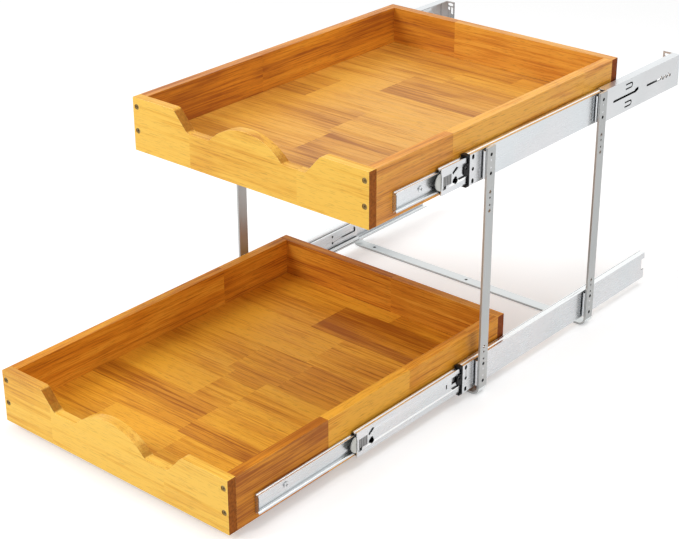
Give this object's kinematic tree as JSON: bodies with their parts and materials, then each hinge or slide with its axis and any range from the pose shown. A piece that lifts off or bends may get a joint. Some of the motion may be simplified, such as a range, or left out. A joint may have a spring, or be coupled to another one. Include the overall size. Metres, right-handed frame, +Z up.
{
  "type": "pull out cabinet basket",
  "caption": "Two-tier pull-out cabinet organiser: shallow wooden trays with scalloped fronts slide on ball-bearing rails carried by strip-steel frames screwed to the cabinet floor.",
  "frame": {"origin": "centre of the pattern of floor screws, on the underside of the two floor bars", "axes": "+X to the right as one faces the cabinet, +Y into the cabinet (the tray fronts face -Y), +Z up"},
  "size_m": [0.4518, 0.962, 0.3955],
  "materials": {
    "strip_steel": "pale grey galvanised strip, satin",
    "bracket_steel": "pale grey zinc-coated sheet, satin",
    "rail_steel": "bright zinc-plated rolled steel",
    "cage_steel": "plain steel sheet, lightly greased",
    "ball_steel": "polished bearing balls",
    "front_wood": "honey-coloured staves under satin varnish",
    "side_wood": "honey-brown staves under satin varnish",
    "floor_wood": "finger-jointed staves of varying tone under satin varnish",
    "screw_brass": "yellow-passivated countersunk screws",
    "pale_plastic": "pale grey moulded plastic",
    "black_plastic": "black moulded plastic"
  },
  "bodies": {
    "frame": {"front_frame": "strip_steel", "rear_frame": "strip_steel", "front_standoffs": "rail_steel", "rear_standoffs": "rail_steel", "standoff_rivets": "rail_steel", "left_rear_bracket": "bracket_steel", "right_rear_bracket": "bracket_steel", "lower_left_outer_rail": "rail_steel", "lower_left_end_stop": "black_plastic", "lower_right_outer_rail": "rail_steel", "lower_right_end_stop": "black_plastic", "upper_left_outer_rail": "rail_steel", "upper_left_end_stop": "black_plastic", "upper_right_outer_rail": "rail_steel", "upper_right_end_stop": "black_plastic"},
    "lower_tray": {"lower_left_inner_rail": "rail_steel", "lower_right_inner_rail": "rail_steel", "lower_tray_front": "front_wood", "lower_tray_back": "side_wood", "lower_tray_left_side": "side_wood", "lower_tray_right_side": "side_wood", "lower_tray_bottom": "floor_wood", "lower_tray_screws": "screw_brass", "lower_rail_screws": "rail_steel"},
    "lower_left_outer_cage": {"lower_left_outer_cage": "cage_steel", "lower_left_outer_balls": "ball_steel"},
    "lower_left_middle_rail": {"lower_left_middle_rail": "rail_steel", "lower_left_bumper": "pale_plastic"},
    "lower_left_inner_cage": {"lower_left_inner_cage": "cage_steel", "lower_left_inner_balls": "ball_steel"},
    "lower_right_outer_cage": {"lower_right_outer_cage": "cage_steel", "lower_right_outer_balls": "ball_steel"},
    "lower_right_middle_rail": {"lower_right_middle_rail": "rail_steel", "lower_right_bumper": "pale_plastic"},
    "lower_right_inner_cage": {"lower_right_inner_cage": "cage_steel", "lower_right_inner_balls": "ball_steel"},
    "upper_tray": {"upper_left_inner_rail": "rail_steel", "upper_right_inner_rail": "rail_steel", "upper_tray_front": "front_wood", "upper_tray_back": "side_wood", "upper_tray_left_side": "side_wood", "upper_tray_right_side": "side_wood", "upper_tray_bottom": "floor_wood", "upper_tray_screws": "screw_brass", "upper_rail_screws": "rail_steel"},
    "upper_left_outer_cage": {"upper_left_outer_cage": "cage_steel", "upper_left_outer_balls": "ball_steel"},
    "upper_left_middle_rail": {"upper_left_middle_rail": "rail_steel", "upper_left_bumper": "pale_plastic"},
    "upper_left_inner_cage": {"upper_left_inner_cage": "cage_steel", "upper_left_inner_balls": "ball_steel"},
    "upper_right_outer_cage": {"upper_right_outer_cage": "cage_steel", "upper_right_outer_balls": "ball_steel"},
    "upper_right_middle_rail": {"upper_right_middle_rail": "rail_steel", "upper_right_bumper": "pale_plastic"},
    "upper_right_inner_cage": {"upper_right_inner_cage": "cage_steel", "upper_right_inner_balls": "ball_steel"}
  },
  "joints": [
    {"name": "lower_tray_slide", "type": "slide", "parent": "frame", "child": "lower_tray", "axis": [0, -1, 0], "range_m": [-0.399, 0.073]},
    {"name": "lower_left_middle_slide", "type": "slide", "parent": "frame", "child": "lower_left_middle_rail", "axis": [0, -1, 0], "range_m": [-0.1681, 0.0308]},
    {"name": "lower_left_outer_cage_slide", "type": "slide", "parent": "frame", "child": "lower_left_outer_cage", "axis": [0, -1, 0], "range_m": [-0.0841, 0.0155]},
    {"name": "lower_left_inner_cage_slide", "type": "slide", "parent": "frame", "child": "lower_left_inner_cage", "axis": [0, -1, 0], "range_m": [-0.2836, 0.052]},
    {"name": "lower_right_middle_slide", "type": "slide", "parent": "frame", "child": "lower_right_middle_rail", "axis": [0, -1, 0], "range_m": [-0.2206, 0.0404]},
    {"name": "lower_right_outer_cage_slide", "type": "slide", "parent": "frame", "child": "lower_right_outer_cage", "axis": [0, -1, 0], "range_m": [-0.1104, 0.0203]},
    {"name": "lower_right_inner_cage_slide", "type": "slide", "parent": "frame", "child": "lower_right_inner_cage", "axis": [0, -1, 0], "range_m": [-0.3099, 0.0568]},
    {"name": "upper_tray_slide", "type": "slide", "parent": "frame", "child": "upper_tray", "axis": [0, -1, 0], "range_m": [-0.1415, 0.3305]},
    {"name": "upper_left_middle_slide", "type": "slide", "parent": "frame", "child": "upper_left_middle_rail", "axis": [0, -1, 0], "range_m": [-0.0561, 0.1309]},
    {"name": "upper_left_outer_cage_slide", "type": "slide", "parent": "frame", "child": "upper_left_outer_cage", "axis": [0, -1, 0], "range_m": [-0.0281, 0.0655]},
    {"name": "upper_left_inner_cage_slide", "type": "slide", "parent": "frame", "child": "upper_left_inner_cage", "axis": [0, -1, 0], "range_m": [-0.0989, 0.2307]},
    {"name": "upper_right_middle_slide", "type": "slide", "parent": "frame", "child": "upper_right_middle_rail", "axis": [0, -1, 0], "range_m": [-0.0561, 0.1309]},
    {"name": "upper_right_outer_cage_slide", "type": "slide", "parent": "frame", "child": "upper_right_outer_cage", "axis": [0, -1, 0], "range_m": [-0.0281, 0.0655]},
    {"name": "upper_right_inner_cage_slide", "type": "slide", "parent": "frame", "child": "upper_right_inner_cage", "axis": [0, -1, 0], "range_m": [-0.0989, 0.2307]}
  ],
  "couplings": [
    {"joint": "lower_left_middle_slide", "follows": "lower_tray_slide", "ratio": 0.42105},
    {"joint": "lower_left_outer_cage_slide", "follows": "lower_tray_slide", "ratio": 0.21053},
    {"joint": "lower_left_inner_cage_slide", "follows": "lower_tray_slide", "ratio": 0.71053},
    {"joint": "lower_right_middle_slide", "follows": "lower_tray_slide", "ratio": 0.55263},
    {"joint": "lower_right_outer_cage_slide", "follows": "lower_tray_slide", "ratio": 0.27632},
    {"joint": "lower_right_inner_cage_slide", "follows": "lower_tray_slide", "ratio": 0.77632},
    {"joint": "upper_left_middle_slide", "follows": "upper_tray_slide", "ratio": 0.39576},
    {"joint": "upper_left_outer_cage_slide", "follows": "upper_tray_slide", "ratio": 0.19788},
    {"joint": "upper_left_inner_cage_slide", "follows": "upper_tray_slide", "ratio": 0.69788},
    {"joint": "upper_right_middle_slide", "follows": "upper_tray_slide", "ratio": 0.39576},
    {"joint": "upper_right_outer_cage_slide", "follows": "upper_tray_slide", "ratio": 0.19788},
    {"joint": "upper_right_inner_cage_slide", "follows": "upper_tray_slide", "ratio": 0.69788}
  ]
}
